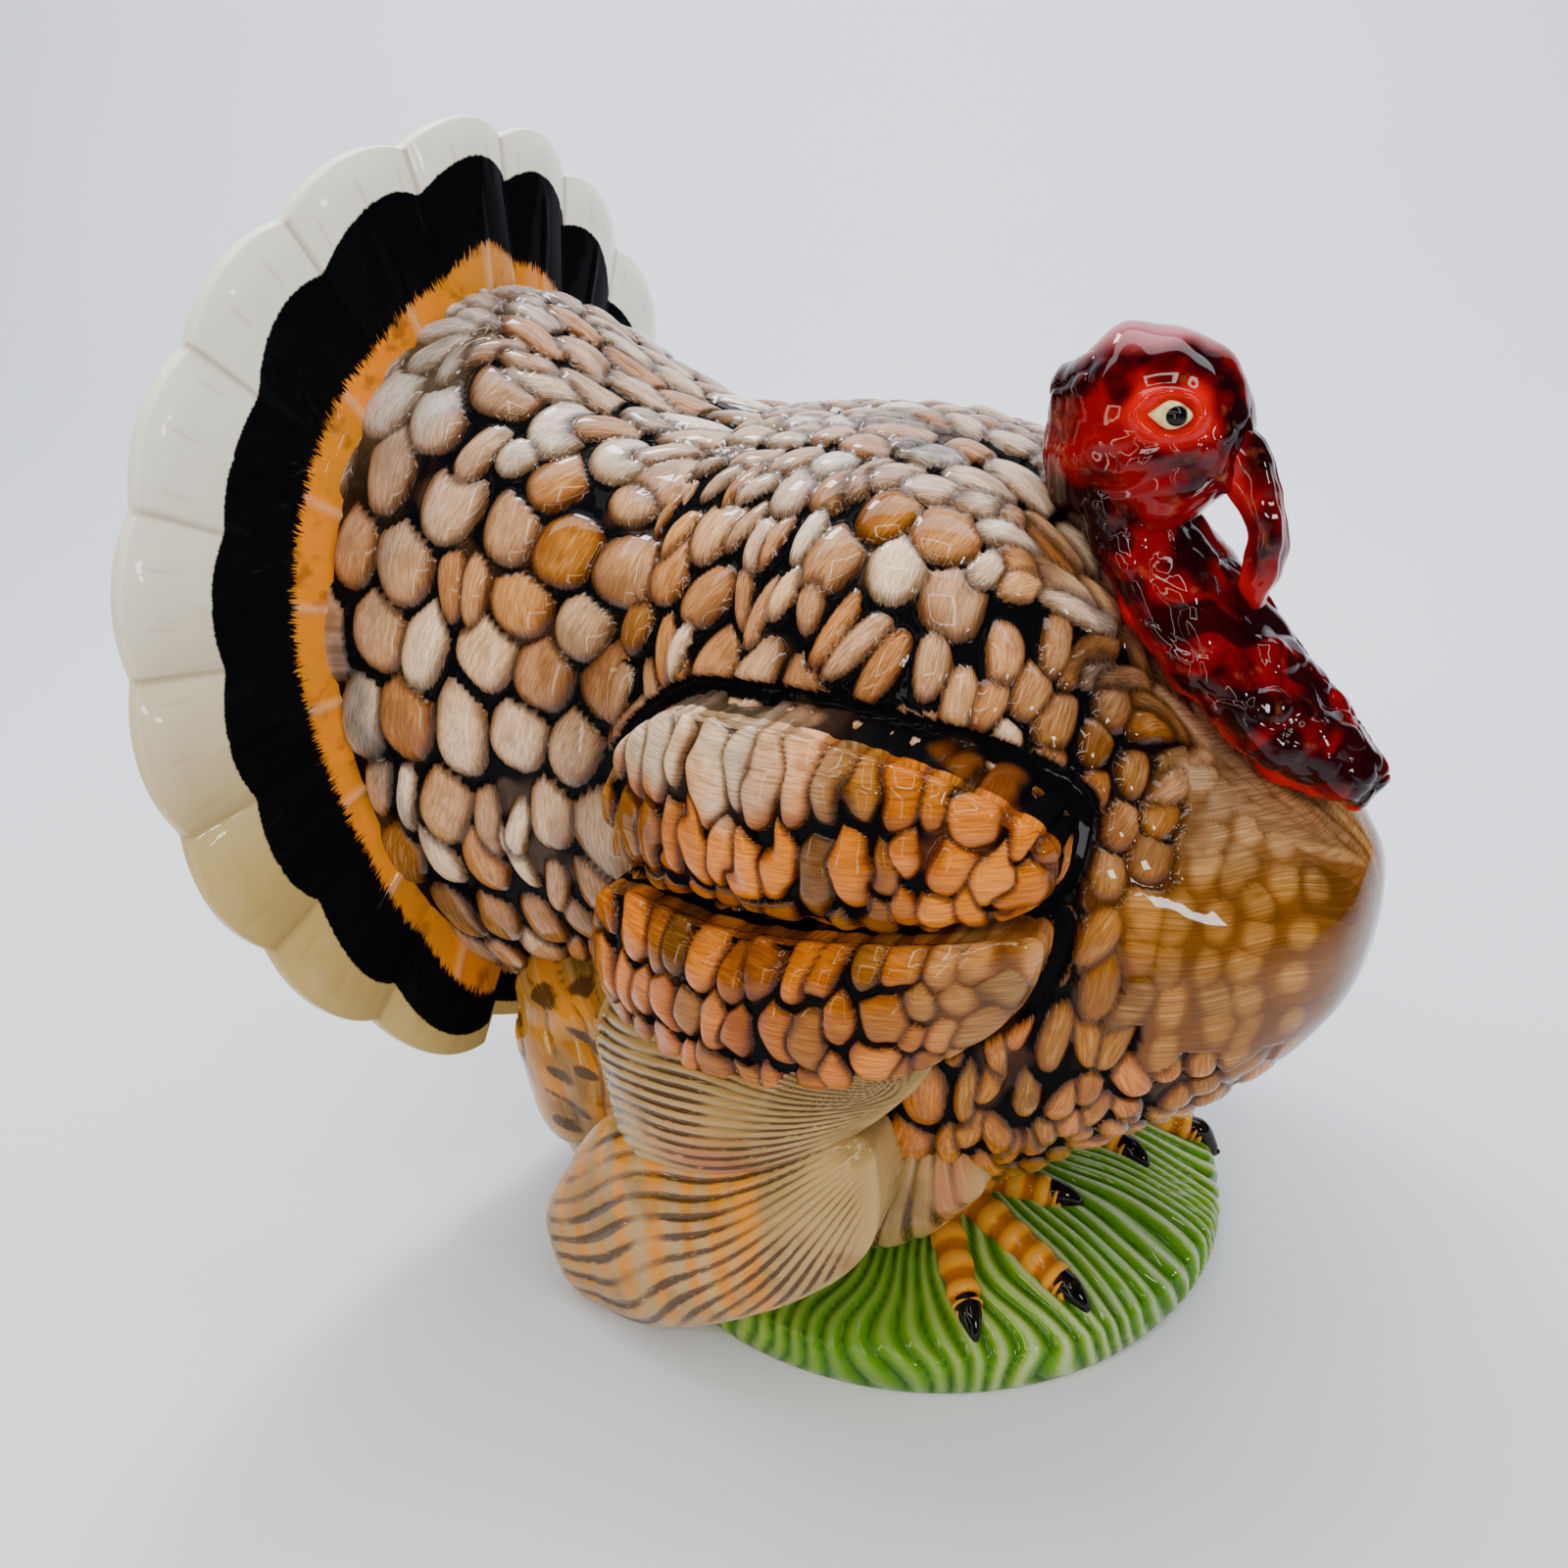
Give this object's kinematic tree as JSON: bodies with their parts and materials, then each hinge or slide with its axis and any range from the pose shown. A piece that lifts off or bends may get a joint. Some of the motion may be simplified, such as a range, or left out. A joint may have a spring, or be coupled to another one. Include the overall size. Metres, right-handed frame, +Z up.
{
  "type": "turkey figurine",
  "caption": "Hollow glazed ceramic turkey centrepiece with a spread tail fan, folded wings and a hooked snood, standing on an oval grass mound.",
  "frame": {"origin": "middle of the grass mound's flat underside", "axes": "+X the way the turkey faces, +Y its left side, +Z up"},
  "size_m": [0.2767, 0.248, 0.307],
  "materials": {
    "grass_glaze": "high gloss translucent green glaze, darker in the grooves",
    "plumage_glaze": "high gloss clear glaze over brushed peach, amber and tan feathers with black grooves",
    "tail_glaze": "high gloss clear glaze over an ivory rim, a black band and an orange band",
    "wing_glaze": "high gloss clear glaze over brushed amber feathers",
    "quill_glaze": "high gloss clear glaze over tan flight feathers with brown quills",
    "wattle_glaze": "high gloss deep red glaze, pooled almost black in the hollows",
    "eye_glaze": "high gloss cream with a black pupil",
    "toe_glaze": "high gloss amber",
    "claw_glaze": "high gloss black"
  },
  "bodies": {
    "root": {"grass_mound": "grass_glaze", "body": "plumage_glaze", "tail_coverts": "plumage_glaze", "tail_fan": "tail_glaze", "undertail": "quill_glaze", "neck": "wattle_glaze", "head": "wattle_glaze", "snood": "wattle_glaze", "right_wing_shoulder": "wing_glaze", "right_wing_coverts": "wing_glaze", "right_wing_secondaries": "quill_glaze", "right_wing_primaries": "quill_glaze", "right_thigh": "quill_glaze", "right_foot": "toe_glaze", "right_eye": "eye_glaze", "right_inner_claw": "claw_glaze", "right_middle_claw": "claw_glaze", "right_outer_claw": "claw_glaze", "left_wing_shoulder": "wing_glaze", "left_wing_coverts": "wing_glaze", "left_wing_secondaries": "quill_glaze", "left_wing_primaries": "quill_glaze", "left_thigh": "quill_glaze", "left_foot": "toe_glaze", "left_eye": "eye_glaze", "left_inner_claw": "claw_glaze", "left_middle_claw": "claw_glaze", "left_outer_claw": "claw_glaze"}
  },
  "joints": []
}
